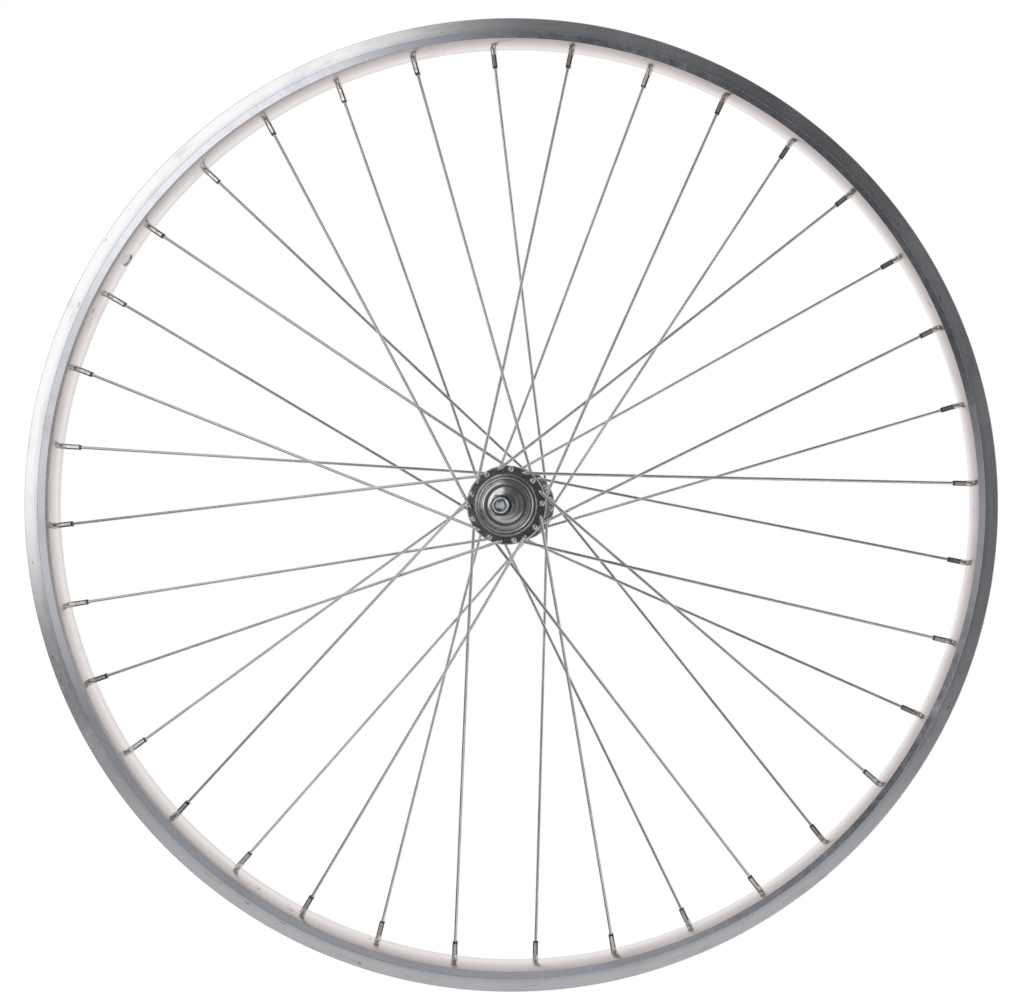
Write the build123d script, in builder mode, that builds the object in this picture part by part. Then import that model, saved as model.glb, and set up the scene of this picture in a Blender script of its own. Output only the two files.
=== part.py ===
"""Spoked rear wheel of a bicycle: single-wall rim, three-cross laced spokes with nipples,
and a hub that turns on two cup-and-cone ball bearings round a hollow axle.

The origin is the wheel's centre. The wheel turns about Y and +Z is up.
The left side of the bicycle is towards -Y, the freewheel side is towards +Y.
Angles round the wheel run from +X towards +Z. Lengths are millimetres.
"""

import os
from math import cos, radians, sin, tan

from build123d import *

# Rim, a single-wall extrusion rolled to a hoop
bead_seat_d = 622.0
bead_flange_h = 6.0
rim_width = 24.5
rim_depth = 14.5
rim_floor_t = 1.8
side_wall_t = 1.8
brake_track_h = 8.6
bed_width = 18.6
bed_crown = 2.6
lip_round = 0.6
hook_reach = 0.6
hook_h = 1.6
hook_run_out = 1.0
bead_ledge_w = 2.4
well_width = 11.0
valve_hole_d = 8.5
valve_spoke_steps = 5.5

# Lacing
spoke_count = 36
first_spoke_angle = 92.65
lacing_angle = 60.0
rim_hole_stagger = 1.5

# Spokes
spoke_d = 2.0
spoke_head_d = 3.8
spoke_head_h = 1.6
spoke_head_chamfer = 0.7
elbow_r = 2.0
elbow_gap = 0.95
weave_gap = 0.25
weave_r = 60.0
thread_in_nipple = 12.0

# Nipples
nipple_d = 4.0
nipple_flats = 3.3
nipple_head_d = 6.0
nipple_head_h = 2.0
nipple_head_taper = 20.0
nipple_seat_gap = 0.5
nipple_drop = 12.2
nipple_collar = 3.6
nipple_bore_clearance = 0.1
nipple_hole_clearance = 0.2

# Hub shell
left_flange_y = 36.0
right_flange_y = 24.0
flange_d = 50.0
flange_t = 2.6
spoke_hole_edge = 2.5
spoke_hole_d = 2.7
barrel_d = 26.0
cup_housing_d = 33.0
cup_housing_back = 2.0
housing_taper = 7.0
left_step_d = 38.4
left_step_h = 1.6
left_boss_d = 34.6
left_boss_h = 4.0
right_shoulder_d = 39.0
right_shoulder_h = 3.5
freewheel_thread_d = 34.8
freewheel_thread_h = 14.0
boss_chamfer = 0.8

# Bearings
ball_d = 6.35
ball_count = 9
ball_pitch_d = 19.2
race_clearance = 0.06
cup_seat_d = 28.4
cup_floor_t = 1.4
cap_to_ball = 0.5
cup_hole_d = 15.0
cone_race_end = 55.0
cone_length = 13.0
cone_flats = 13.5
cone_flats_h = 3.0
dust_cap_t = 0.8
dust_cap_sink = 2.4
dust_cap_lip_w = 1.5
dust_cap_crown_d = 22.6
dust_cap_crown_sink = 0.9
dust_cap_hole_clearance = 0.5
press_clearance = 0.02

# Axle set
axle_d = 10.0
axle_bore_d = 5.2
axle_end_d = 9.5
axle_chamfer = 0.8
axle_stick_out = 6.0
over_locknut = 120.0
thread_clearance = 0.05
lock_washer_d = 17.0
lock_washer_t = 1.6
spacer_d = 13.0
locknut_flats = 13.0
locknut_t = 5.0
locknut_chamfer_angle = 30.0

os.makedirs("parts", exist_ok=True)


# Radii and heights that follow from the sizes above
seat_r = bead_seat_d / 2
rim_r = seat_r + bead_flange_h
bed_r = rim_r - rim_depth
floor_r = bed_r + rim_floor_t
half_width = rim_width / 2
inner_wall_y = half_width - side_wall_t
spoke_step = 360 / spoke_count
spoke_r = spoke_d / 2
hole_circle_r = flange_d / 2 - spoke_hole_edge
pitch_r = ball_pitch_d / 2
race_r = ball_d / 2 + race_clearance
cup_seat_r = cup_seat_d / 2
cup_r = cup_seat_r - press_clearance
cone_r = pitch_r - race_r * cos(radians(cone_race_end))
axle_hole_r = axle_d / 2 + thread_clearance
left_end_y = left_flange_y + flange_t / 2 + left_boss_h
right_end_y = right_flange_y + flange_t / 2 + right_shoulder_h + freewheel_thread_h
dust_cap_y = dust_cap_sink + dust_cap_t
dust_cap_hole_r = cone_r + dust_cap_hole_clearance
dust_cap_lip_r = cup_r - dust_cap_lip_w
dust_cap_crown_r = dust_cap_crown_d / 2
cup_lip_h = ball_d / 2 + cap_to_ball
cup_length = cup_floor_t + race_r + cup_lip_h
bearing_depth = dust_cap_y + cup_length


def on_wheel(radius, angle, y):
    """Point at a radius and an angle round the wheel."""
    return Vector(radius * cos(radians(angle)), y, radius * sin(radians(angle)))


def finish(piece, name):
    """Label a finished piece and write it."""
    piece.label = name
    export_step(piece, f"parts/{name}.step")


class Lacing:
    """Route of one spoke: from its flange hole, past the outermost crossing, to the rim."""

    def __init__(self, number):
        kind = number % 4
        on_left = kind in (0, 2)
        leads = kind in (2, 3)
        outside = kind in (1, 2)
        side = -1 if on_left else 1
        flange_y = side * (left_flange_y if on_left else right_flange_y)
        turn = lacing_angle if leads else -lacing_angle
        rim_angle = first_spoke_angle - (number - 1) * spoke_step
        hole_angle = rim_angle + turn
        elbow_lift = flange_t / 2 + elbow_gap + spoke_r
        self.to_elbow = side if outside else -side
        self.hole = on_wheel(hole_circle_r, hole_angle, flange_y)
        self.elbow = self.hole + Vector(0, self.to_elbow * elbow_lift, 0)
        self.head_seat = self.hole - Vector(0, self.to_elbow * flange_t / 2, 0)
        self.rim_seat = on_wheel(floor_r, rim_angle, side * rim_hole_stagger)

        # The outermost crossing lies one spoke step from the spoke's own rim hole.
        # There the outside spoke is woven behind the inside one.
        reach = self.crossing_share(abs(turn))
        near_y = flange_y + (self.rim_seat.Y - flange_y) * reach
        tuck = side * (spoke_r + weave_gap / 2)
        crossing = self.elbow + (self.rim_seat - self.elbow) * reach
        self.crossing = Vector(crossing.X, near_y - tuck if outside else near_y + tuck, crossing.Z)

        self.axis = (self.rim_seat - self.crossing).normalized()
        self.tip = self.rim_seat - self.axis * (nipple_drop - thread_in_nipple + rim_floor_t)

    def crossing_share(self, turn):
        """Share of the way from hub hole to rim at which the outermost crossing lies."""
        hub_side = sin(radians(turn - spoke_step)) * hole_circle_r
        rim_side = sin(radians(spoke_step)) * floor_r
        return hub_side / (hub_side + rim_side)


lacings = [Lacing(number) for number in range(1, spoke_count + 1)]
nipple_planes = [Plane(origin=lacing.rim_seat, z_dir=lacing.axis) for lacing in lacings]

# Rim: the section is drawn with its radius along X and its width along Y
with BuildPart() as rim:
    with BuildSketch():
        with BuildLine():
            bed = TangentArc((bed_r, 0), (bed_r + bed_crown, bed_width / 2), tangent=(0, 1))
            outer = Polyline(
                bed @ 1,
                (rim_r - brake_track_h, half_width),
                (rim_r - lip_round, half_width),
            )
            lip = TangentArc(outer @ 1, (rim_r, half_width - lip_round), tangent=(1, 0))
            Polyline(
                lip @ 1,
                (rim_r, inner_wall_y - hook_reach),
                (rim_r - hook_h, inner_wall_y - hook_reach),
                (rim_r - hook_h - hook_run_out, inner_wall_y),
                (seat_r, inner_wall_y),
                (seat_r, inner_wall_y - bead_ledge_w),
                (floor_r, well_width / 2),
                (floor_r, 0),
            )
            mirror(about=Plane.XZ)
        make_face()
    revolve(axis=Axis.Y)
    with Locations(*nipple_planes):
        Cylinder((nipple_d + nipple_hole_clearance) / 2, rim_depth, mode=Mode.SUBTRACT)
    valve_angle = first_spoke_angle + valve_spoke_steps * spoke_step
    with Locations(Plane(origin=on_wheel(floor_r, valve_angle, 0), z_dir=on_wheel(1, valve_angle, 0))):
        Cylinder(valve_hole_d / 2, rim_depth, mode=Mode.SUBTRACT)
finish(rim.part, "rim")

# Spokes: bent wire with a headed end, woven at the outermost crossing
for number, lacing in enumerate(lacings, 1):
    head_out = Vector(0, -lacing.to_elbow, 0)
    with BuildPart() as spoke:
        with BuildLine() as wire:
            FilletPolyline(
                lacing.head_seat + head_out * spoke_head_h / 2,
                lacing.elbow,
                lacing.crossing,
                lacing.tip,
                radius=[elbow_r, weave_r],
            )
        with BuildSketch(Plane(origin=wire.line @ 0, z_dir=wire.line % 0)):
            Circle(spoke_r)
        sweep()
        with Locations(Plane(origin=lacing.head_seat, z_dir=head_out)):
            Cylinder(spoke_head_d / 2, spoke_head_h, align=(Align.CENTER, Align.CENTER, Align.MIN))
        head_top = lacing.head_seat + head_out * spoke_head_h
        head_face = spoke.faces().filter_by(GeomType.PLANE).sort_by_distance(head_top)[0]
        chamfer(head_face.edges(), spoke_head_chamfer)
    finish(spoke.part, f"spoke_{number:02d}")

# Nipples: a round collar at the rim, four flats towards the hub, a head in the rim's well
with BuildPart() as nipple_form:
    with BuildSketch(Plane.XY.offset(-rim_floor_t - nipple_drop)):
        Circle(nipple_d / 2)
        Rectangle(nipple_flats, nipple_flats, mode=Mode.INTERSECT)
    extrude(amount=nipple_drop - nipple_collar)
    with BuildSketch(Plane.XY.offset(-rim_floor_t - nipple_collar)):
        Circle(nipple_d / 2)
    extrude(amount=nipple_collar + rim_floor_t + nipple_seat_gap)
    with BuildSketch(Plane.XY.offset(nipple_seat_gap)):
        Circle(nipple_head_d / 2)
    extrude(amount=nipple_head_h, taper=nipple_head_taper)
    Hole(spoke_r + nipple_bore_clearance)
nipples = Compound(children=[plane.location * nipple_form.part for plane in nipple_planes])
finish(nipples, "nipples")

# Hub shell: two flanges on a barrel, a cup housing and a stepped boss on the left,
# a shoulder and a freewheel thread on the right, and a counterbore at each end
left_face = -left_flange_y - flange_t / 2
right_face = right_flange_y + flange_t / 2
housing_end = -left_end_y + bearing_depth + cup_housing_back
with BuildPart() as hub_shell:
    with BuildSketch():
        with BuildLine():
            Polyline(
                (cup_hole_d / 2, -left_end_y),
                (left_boss_d / 2, -left_end_y),
                (left_boss_d / 2, left_face - left_step_h),
                (left_step_d / 2, left_face - left_step_h),
                (left_step_d / 2, left_face),
                (flange_d / 2, left_face),
                (flange_d / 2, left_face + flange_t),
                (cup_housing_d / 2, left_face + flange_t),
                (cup_housing_d / 2, housing_end),
                (barrel_d / 2, housing_end + housing_taper),
                (barrel_d / 2, right_face - flange_t),
                (flange_d / 2, right_face - flange_t),
                (flange_d / 2, right_face),
                (right_shoulder_d / 2, right_face),
                (right_shoulder_d / 2, right_face + right_shoulder_h),
                (freewheel_thread_d / 2, right_face + right_shoulder_h),
                (freewheel_thread_d / 2, right_end_y),
                (cup_hole_d / 2, right_end_y),
                close=True,
            )
        make_face()
    revolve(axis=Axis.Y)
    end_faces = hub_shell.faces().filter_by(GeomType.PLANE).sort_by(Axis.Y)
    mouth_edges = [end_faces[end].edges().sort_by(SortBy.LENGTH)[-1] for end in (0, -1)]
    chamfer(mouth_edges, boss_chamfer)
    for end, depth_dir in ((Plane.XZ.offset(left_end_y), -1), (Plane.XZ.offset(-right_end_y), 1)):
        with BuildSketch(end):
            Circle(cup_seat_r)
        extrude(amount=depth_dir * bearing_depth, mode=Mode.SUBTRACT)
    for flange_plane, first_hole in (
        (Plane.XZ.offset(left_flange_y), first_spoke_angle - spoke_step + lacing_angle),
        (Plane.XZ.offset(-right_flange_y), first_spoke_angle - lacing_angle),
    ):
        with BuildSketch(flange_plane):
            with PolarLocations(hole_circle_r, spoke_count // 2, start_angle=first_hole):
                Circle(spoke_hole_d / 2)
        extrude(amount=flange_t, both=True, mode=Mode.SUBTRACT)
finish(hub_shell.part, "hub_shell")

# Bearings and axle fittings, the same on both sides, each set measured from its hub end
for name, side, hub_end in (("left", -1, left_end_y), ("right", 1, right_end_y)):
    ball_y = hub_end - dust_cap_y - cup_lip_h
    cone_out_y = ball_y - ball_d / 2 + cone_length
    spacer_y = cone_out_y + lock_washer_t
    locknut_y = over_locknut / 2 - locknut_t

    # Cup: pressed into the shell, its race open outwards
    with BuildPart() as cup:
        with BuildSketch():
            with BuildLine():
                race = TangentArc(
                    (pitch_r, side * (ball_y - race_r)),
                    (pitch_r + race_r, side * ball_y),
                    tangent=(1, 0),
                )
                Polyline(
                    race @ 1,
                    (pitch_r + race_r, side * (ball_y + cup_lip_h)),
                    (cup_r, side * (ball_y + cup_lip_h)),
                    (cup_r, side * (ball_y - race_r - cup_floor_t)),
                    (cup_hole_d / 2, side * (ball_y - race_r - cup_floor_t)),
                    (cup_hole_d / 2, side * (ball_y - race_r)),
                    race @ 0,
                )
            make_face()
        revolve(axis=Axis.Y)
    finish(cup.part, f"{name}_cup")

    # Balls: a full ring between cup and cone
    with BuildPart() as balls:
        ball_angles = [turn * 360 / ball_count for turn in range(ball_count)]
        with Locations(*[on_wheel(pitch_r, angle, side * ball_y) for angle in ball_angles]):
            Sphere(ball_d / 2)
    finish(balls.part, f"{name}_balls")

    # Cone: screwed on the axle, its race open inwards, with spanner flats at its outer end
    race_end_y = ball_y + race_r * sin(radians(cone_race_end))
    with BuildPart() as cone:
        with BuildSketch():
            with BuildLine():
                groove = TangentArc(
                    (pitch_r - race_r, side * ball_y),
                    (cone_r, side * race_end_y),
                    tangent=(0, side),
                )
                Polyline(
                    groove @ 1,
                    (cone_r, side * cone_out_y),
                    (axle_hole_r, side * cone_out_y),
                    (axle_hole_r, side * (ball_y - ball_d / 2)),
                    (pitch_r - race_r, side * (ball_y - ball_d / 2)),
                    groove @ 0,
                )
            make_face()
        revolve(axis=Axis.Y)
        with BuildSketch(Plane.XZ.offset(-side * cone_out_y)):
            Circle(ball_pitch_d)
            Rectangle(cone_flats, 2 * ball_pitch_d, mode=Mode.SUBTRACT)
        extrude(amount=side * cone_flats_h, mode=Mode.SUBTRACT)
    finish(cone.part, f"{name}_cone")

    # Dust cap: a pressed ring that closes the bearing, domed round the cone inside its rolled lip
    crown_y = hub_end - dust_cap_crown_sink
    groove_y = hub_end - dust_cap_sink
    with BuildPart() as dust_cap:
        with BuildSketch():
            with BuildLine():
                crown = TangentArc(
                    (dust_cap_hole_r, side * crown_y),
                    (dust_cap_crown_r, side * groove_y),
                    tangent=(1, 0),
                )
                underside = TangentArc(
                    (dust_cap_hole_r, side * (crown_y - dust_cap_t)),
                    (dust_cap_crown_r, side * (groove_y - dust_cap_t)),
                    tangent=(1, 0),
                )
                Polyline(
                    crown @ 1,
                    (dust_cap_lip_r, side * groove_y),
                    (dust_cap_lip_r, side * hub_end),
                    (cup_r, side * hub_end),
                    (cup_r, side * (hub_end - dust_cap_y)),
                    underside @ 1,
                )
                Line(underside @ 0, crown @ 0)
            make_face()
        revolve(axis=Axis.Y)
    finish(dust_cap.part, f"{name}_dust_cap")

    # Lock washer, spacer and locknut, stacked outwards from the cone
    with BuildPart() as lock_washer:
        with BuildSketch(Plane.XZ.offset(-side * cone_out_y)):
            Circle(lock_washer_d / 2)
            Circle(axle_hole_r, mode=Mode.SUBTRACT)
        extrude(amount=-side * lock_washer_t)
    finish(lock_washer.part, f"{name}_lock_washer")

    with BuildPart() as spacer:
        with BuildSketch(Plane.XZ.offset(-side * spacer_y)):
            Circle(spacer_d / 2)
            Circle(axle_hole_r, mode=Mode.SUBTRACT)
        extrude(amount=-side * (locknut_y - spacer_y))
    finish(spacer.part, f"{name}_spacer")

    with BuildPart() as locknut:
        with BuildSketch(Plane.XZ.offset(-side * locknut_y)):
            RegularPolygon(locknut_flats / 2, 6, major_radius=False)
            Circle(axle_hole_r, mode=Mode.SUBTRACT)
        extrude(amount=-side * locknut_t)
        face_y = side * over_locknut / 2
        chamfer_run = locknut_t / tan(radians(locknut_chamfer_angle))
        with BuildSketch():
            with BuildLine():
                Polyline(
                    (0, face_y),
                    (locknut_flats / 2, face_y),
                    (locknut_flats / 2 + chamfer_run, face_y - side * locknut_t),
                    (0, face_y - side * locknut_t),
                    close=True,
                )
            make_face()
        revolve(axis=Axis.Y, mode=Mode.INTERSECT)
    finish(locknut.part, f"{name}_locknut")

# Axle: hollow for a quick-release skewer, its ends turned down to drop into the frame
axle_length = over_locknut + 2 * axle_stick_out
with BuildPart() as axle:
    with BuildSketch(Plane.XZ.offset(-over_locknut / 2)):
        Circle(axle_d / 2)
    extrude(amount=over_locknut)
    for side in (-1, 1):
        with BuildSketch(Plane.XZ.offset(-side * over_locknut / 2)):
            Circle(axle_end_d / 2)
        extrude(amount=-side * axle_stick_out)
    end_faces = axle.faces().filter_by(GeomType.PLANE).sort_by(Axis.Y)
    chamfer([end_faces[end].edges()[0] for end in (0, -1)], axle_chamfer)
    with BuildSketch(Plane.XZ.offset(-axle_length / 2)):
        Circle(axle_bore_d / 2)
    extrude(amount=axle_length, mode=Mode.SUBTRACT)
finish(axle.part, "axle")
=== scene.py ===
from math import cos, pi, radians, sin, tan

import bmesh
import bpy
import numpy as np
from bpy.props import FloatProperty, FloatVectorProperty, IntProperty, PointerProperty
from mathutils import Matrix, Vector


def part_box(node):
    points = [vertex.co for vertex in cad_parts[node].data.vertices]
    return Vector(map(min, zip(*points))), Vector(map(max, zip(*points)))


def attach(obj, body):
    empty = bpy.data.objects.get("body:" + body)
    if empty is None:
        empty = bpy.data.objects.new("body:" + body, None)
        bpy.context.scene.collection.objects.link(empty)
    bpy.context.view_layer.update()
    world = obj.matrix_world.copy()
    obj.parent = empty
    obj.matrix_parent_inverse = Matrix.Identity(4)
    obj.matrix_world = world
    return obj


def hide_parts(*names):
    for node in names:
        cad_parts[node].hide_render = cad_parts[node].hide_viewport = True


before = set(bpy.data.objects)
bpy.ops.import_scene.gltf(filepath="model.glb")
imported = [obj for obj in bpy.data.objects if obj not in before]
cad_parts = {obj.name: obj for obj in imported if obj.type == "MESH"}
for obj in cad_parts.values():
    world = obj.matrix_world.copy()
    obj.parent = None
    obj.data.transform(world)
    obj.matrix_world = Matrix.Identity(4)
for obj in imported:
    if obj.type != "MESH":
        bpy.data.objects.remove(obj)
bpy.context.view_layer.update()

bl_info = {
    "name": "Spoked bicycle wheel",
    "version": (1, 0, 0),
    "blender": (4, 5, 0),
    "location": "View3D > Sidebar > Wheel",
    "description": "Rim, laced spokes, nipples, hub and axle of a bicycle's rear wheel",
    "category": "Add Mesh",
}

# The wheel turns about Y, with -Y its left side. Lengths are metres, angles run from +X towards +Z.
MM = 0.001
RIM_LOW, RIM_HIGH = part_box("rim")
HUB_LOW, HUB_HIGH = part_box("hub_shell")
SIDES = {"left": -1, "right": 1}
SPOKE_NODES = sorted(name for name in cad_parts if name.startswith("spoke_"))
AXIS = Vector((0, 1, 0))
WHITE = (1.0, 1.0, 1.0, 1.0)
SENSOR_MM = 36.0

# Points closer than the weld are one point, and edges sharper than the crease stay sharp.
WELD = 1e-7
CREASE = radians(40)

# Steps along a rounded corner, and the share of a side that one corner may take up
EASE_STEPS = 4
EASE_SHARE = 0.48

# Steps along small curves
BED_STEPS = 6
DOME_STEPS = 8
RACE_STEPS = 8
NUT_STEPS = 5
THREAD_STEPS = 6

# Sides of small round forms
HOLE_SIDES = 24
VALVE_SIDES = 48
NIPPLE_SIDES = 32
HEAD_SIDES = 20
FLOOR_SIDES = 128

# Noise mostly keeps to this range, and a cloud fades in over this part of it.
NOISE = (0.3, 0.7)
CLOUD = (0.38, 0.66)

# Turning lines: how often the noise changes along the turn and across it
TURNING = {"along": 40.0, "across": 5000.0}


def length(label, note, millimetres):
    """A length that the sidebar shows in scene units."""
    return FloatProperty(
        name=label, description=note, default=millimetres * MM, precision=4, unit="LENGTH"
    )


def turn_of(label, note, degrees):
    """An angle that the sidebar shows in degrees."""
    return FloatProperty(name=label, description=note, default=radians(degrees), unit="ROTATION")


def colour(label, note, *rgb):
    """A colour that the sidebar shows as a swatch."""
    return FloatVectorProperty(
        name=label, description=note, default=(*rgb, 1.0), size=4, min=0.0, max=1.0, subtype="COLOR"
    )


def amount(label, note, default):
    """A plain number from 0 upwards."""
    return FloatProperty(name=label, description=note, default=default, min=0.0)


class RimSizes(bpy.types.PropertyGroup):
    """Section of the rim."""

    radius: length("Radius", "Axle to the rim's outer edge", RIM_HIGH.x / MM)
    width: length("Width", "Over both side walls", (RIM_HIGH.y - RIM_LOW.y) / MM)
    depth: length("Depth", "Outer edge to the crown of the bed", 14.5)
    track: length("Brake track", "Height of each flat side wall", 8.6)
    bed_width: length("Bed width", "Width of the rounded bed between the shoulders", 18.6)
    bed_crown: length("Bed crown", "How far the bed's middle stands towards the hub", 2.6)
    floor: length("Floor", "Thickness of the bed at its middle", 1.8)
    wall: length("Wall", "Thickness of a side wall", 1.8)
    bead_flange: length("Bead flange", "Bead seat to the outer edge", 6.0)
    ledge: length("Bead ledge", "Width of the ledge under a tyre's bead", 2.4)
    well: length("Well", "Width of the channel's flat floor", 11.0)
    hook: length("Hook", "How far the hooked edge reaches over the bead", 0.6)
    hook_height: length("Hook height", "Height of the hooked edge", 1.6)
    hook_run: length("Hook run-out", "Height over which the hook runs out into the wall", 1.0)
    valve_hole: length("Valve hole", "Diameter of the valve hole", 8.5)
    valve_steps: amount("Valve place", "Spoke steps from the first spoke to the valve hole", 5.5)
    segments: IntProperty(name="Segments", description="Steps round the rim", default=576)


class LacingSizes(bpy.types.PropertyGroup):
    """Lacing pattern and the spokes' wire."""

    spokes: IntProperty(name="Spokes", description="How many spokes the wheel has", default=36)
    first_angle: turn_of("First spoke", "Angle of the first spoke's rim hole", 92.65)
    lacing_angle: turn_of("Lacing", "Angle from a spoke's rim hole to its hub hole", 60.0)
    stagger: length("Stagger", "Rim holes' offset from the middle, side by side", 1.5)
    wire: length("Wire", "Diameter of a spoke", 2.0)
    head: length("Head", "Diameter of a spoke's head", 3.8)
    head_height: length("Head height", "Height of a spoke's head", 1.6)
    head_rim: length("Head rim", "Height of a spoke head's edge below its dome", 0.4)
    elbow: length("Elbow", "Bend radius at the flange", 2.0)
    elbow_gap: length("Elbow gap", "Flange to the wire at the elbow", 0.95)
    weave_gap: length("Weave gap", "Gap between two woven spokes", 0.25)
    weave_bend: length("Weave bend", "Bend radius at the outermost crossing", 60.0)
    thread: length("Thread", "Length of wire inside the nipple", 12.0)
    wire_sides: IntProperty(name="Wire sides", description="Steps round a spoke", default=16)
    bend_steps: IntProperty(name="Bend steps", description="Steps in each bend", default=8)


class NippleSizes(bpy.types.PropertyGroup):
    """Nipples at the rim end of the spokes."""

    diameter: length("Diameter", "Collar of the nipple", 4.0)
    flats: length("Flats", "Across the four flats of the shank", 3.3)
    head: length("Head", "Diameter of the head in the rim's channel", 6.0)
    head_top: length("Head top", "Diameter of the head's outer end", 4.5)
    head_height: length("Head height", "Height of the head", 2.0)
    seat_gap: length("Seat gap", "Rim floor to the head", 0.5)
    drop: length("Drop", "How far the shank stands out of the bed", 12.2)
    collar: length("Collar", "Round part of the shank next to the bed", 3.6)
    edge: length("Edge", "How far the dark ends of the flats reach", 0.9)
    bore: length("Bore", "Hole for the spoke", 2.2)
    slot_width: length("Slot", "Width of the screwdriver slot", 0.9)
    slot_depth: length("Slot depth", "Depth of the screwdriver slot", 1.0)
    hole: length("Rim hole", "Hole in the rim for a nipple", 4.2)
    turn: turn_of("Turn", "How far a nipple may be turned to either side by chance", 6.0)
    seed: IntProperty(name="Seed", description="Seed for how far each nipple is turned", default=7)


class HubSizes(bpy.types.PropertyGroup):
    """Hub shell and dust caps."""

    left_flange: length("Left flange", "Rim's middle to the left flange", 36.0)
    right_flange: length("Right flange", "Rim's middle to the right flange", 24.0)
    flange: length("Flange", "Diameter of both flanges", 50.0)
    flange_thick: length("Flange thickness", "Thickness of both flanges", 2.6)
    hole_edge: length("Hole edge", "Flange edge to the middle of a spoke hole", 2.5)
    spoke_hole: length("Spoke hole", "Diameter of a spoke hole", 2.7)
    flare: length("Hole flare", "Bevel at both ends of a spoke hole", 0.35)
    barrel: length("Barrel", "Diameter of the tube between the flanges", 26.0)
    housing: length("Housing", "Diameter of the shell round the left cup", 33.0)
    housing_back: length("Housing back", "Wall behind the left cup", 2.0)
    housing_taper: length("Housing taper", "Length of the taper to the barrel", 7.0)
    step: length("Left step", "Diameter of the step on the left flange", 38.4)
    step_height: length("Left step height", "Height of that step", 1.6)
    boss: length("Left boss", "Diameter of the left end", 34.6)
    shoulder: length("Shoulder", "Diameter of the freewheel's shoulder", 39.0)
    shoulder_height: length("Shoulder height", "Height of the freewheel's shoulder", 3.5)
    thread: length("Freewheel thread", "Outer diameter of the thread", 34.8)
    thread_pitch: length("Thread pitch", "24 threads to the inch", 1.058)
    thread_depth: length("Thread depth", "Depth of the thread", 0.55)
    cup_seat: length("Cup seat", "Diameter of the counterbore at each end", 28.4)
    cup_depth: length("Cup depth", "Depth of the counterbore", 11.51)
    bore: length("Bore", "Hole through the shell", 15.0)
    chamfer: length("Chamfer", "Bevel at both ends", 0.8)
    ridge: length("Ridge", "Height of the round ridge on a cap's lip", 0.2)
    ring_depth: length("Ring depth", "Depth of the rings turned into the left face", 0.3)
    cap_sheet: length("Cap sheet", "Thickness of a dust cap", 0.8)
    cap_sink: length("Cap groove", "Depth of the groove in a dust cap", 2.4)
    cap_lip: length("Cap lip", "Width of a dust cap's rolled lip", 1.5)
    cap_crown: length("Cap crown", "Diameter of the domed middle", 22.6)
    cap_crown_sink: length("Crown depth", "Hub end to the top of the dome", 0.9)
    cap_slope: turn_of("Crown slope", "Slope of the dome at its hole", 6.0)
    cap_fall: length("Crown fall", "How far the dome falls from its hole to its edge", 0.75)
    cap_hole: length("Cap hole", "Hole for the cone", 16.49)
    segments: IntProperty(name="Segments", description="Steps round the hub", default=192)


class AxleSizes(bpy.types.PropertyGroup):
    """Axle and the fittings that are screwed on it."""

    thread_bore: length("Fitting bore", "Hole in cones, washers, spacers and nuts", 10.1)
    end: length("Axle end", "Diameter of the axle's two ends", 9.5)
    bore: length("Axle bore", "Hole for a skewer", 5.2)
    thread_pitch: length("Thread pitch", "Pitch of the axle's thread", 1.0)
    thread_depth: length("Thread depth", "Depth of the axle's thread", 0.45)
    chamfer: length("Axle chamfer", "Bevel at the axle's ends", 0.8)
    washer_bevel: length("Washer bevel", "Width of the bevel on the lock washers", 1.7)
    spacer_bevel: length("Spacer bevel", "Width of the bevel on the spacers", 0.5)
    bevel_slope: amount("Bevel slope", "Depth of those bevels for each unit of width", 0.22)
    cone_nose: length("Cone nose", "Diameter of the cone's inner end", 12.73)
    cone_lead: length("Cone lead", "Inner end to the start of the cone's track", 3.175)
    cone_race: length("Cone race", "Length of the cone's curved track", 5.83)
    cone_flats: length("Cone flats", "Across the spanner flats", 13.5)
    cone_flats_height: length("Flats height", "Height of the spanner flats", 3.0)
    nut_chamfer: turn_of("Nut chamfer", "Slope of the bevel on the lock nuts", 30.0)
    segments: IntProperty(name="Segments", description="Steps round the axle set", default=96)


class Finishes(bpy.types.PropertyGroup):
    """Colours of the bare metals and of the floor."""

    rim: colour("Rim sides", "Ground aluminium of the side walls", 0.79, 0.79, 0.79)
    rim_shoulder: colour("Rim shoulders", "Unground aluminium beside the tracks", 0.66, 0.66, 0.71)
    rim_bed: colour("Rim bed", "Rolled aluminium at the middle of the bed", 0.84, 0.80, 0.79)
    # Painted shade: this colour darkens the bed towards both shoulders.
    rim_bed_shade: colour("Rim bed edges", "Dulled aluminium at the edges of the bed", 0.52, 0.47, 0.46)
    # Painted light: the inside of the channel is painted paler than the side walls, so the valve hole reads
    # bright.
    rim_channel_light: colour("Rim channel", "Inside of the rim's channel", 0.94, 0.92, 0.91)
    # Besides the handling marks, this colour paints shade on the wall and edge of the valve hole.
    rim_stain_and_shade: colour("Rim marks", "Rubbed and handled places on the rim", 0.36, 0.34, 0.34)
    spoke: colour("Spokes", "Drawn steel wire", 0.67, 0.67, 0.67)
    nipple: colour("Nipples", "Nickel-plated brass", 0.80, 0.79, 0.78)
    # Worn brass and painted shade: dark along the edges of the flats and at the tip.
    nipple_wear_and_shade: colour("Nipple edges", "Brass gone dark along the edges", 0.10, 0.085, 0.07)
    hub: colour("Hub", "Bright plated steel", 0.60, 0.60, 0.61)
    cap: colour("Dust caps", "Bright plated sheet", 0.72, 0.71, 0.67)
    fitting: colour("Axle fittings", "Dark turned steel", 0.26, 0.26, 0.27)
    washer: colour("Lock washers", "Bright plated sheet", 0.70, 0.69, 0.65)
    axle: colour("Axle", "Plated turned steel", 0.60, 0.62, 0.66)
    bearing: colour("Bearings", "Hardened ground steel", 0.60, 0.60, 0.61)
    floor: colour("Floor", "Pale studio floor", 0.86, 0.86, 0.86)


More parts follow.
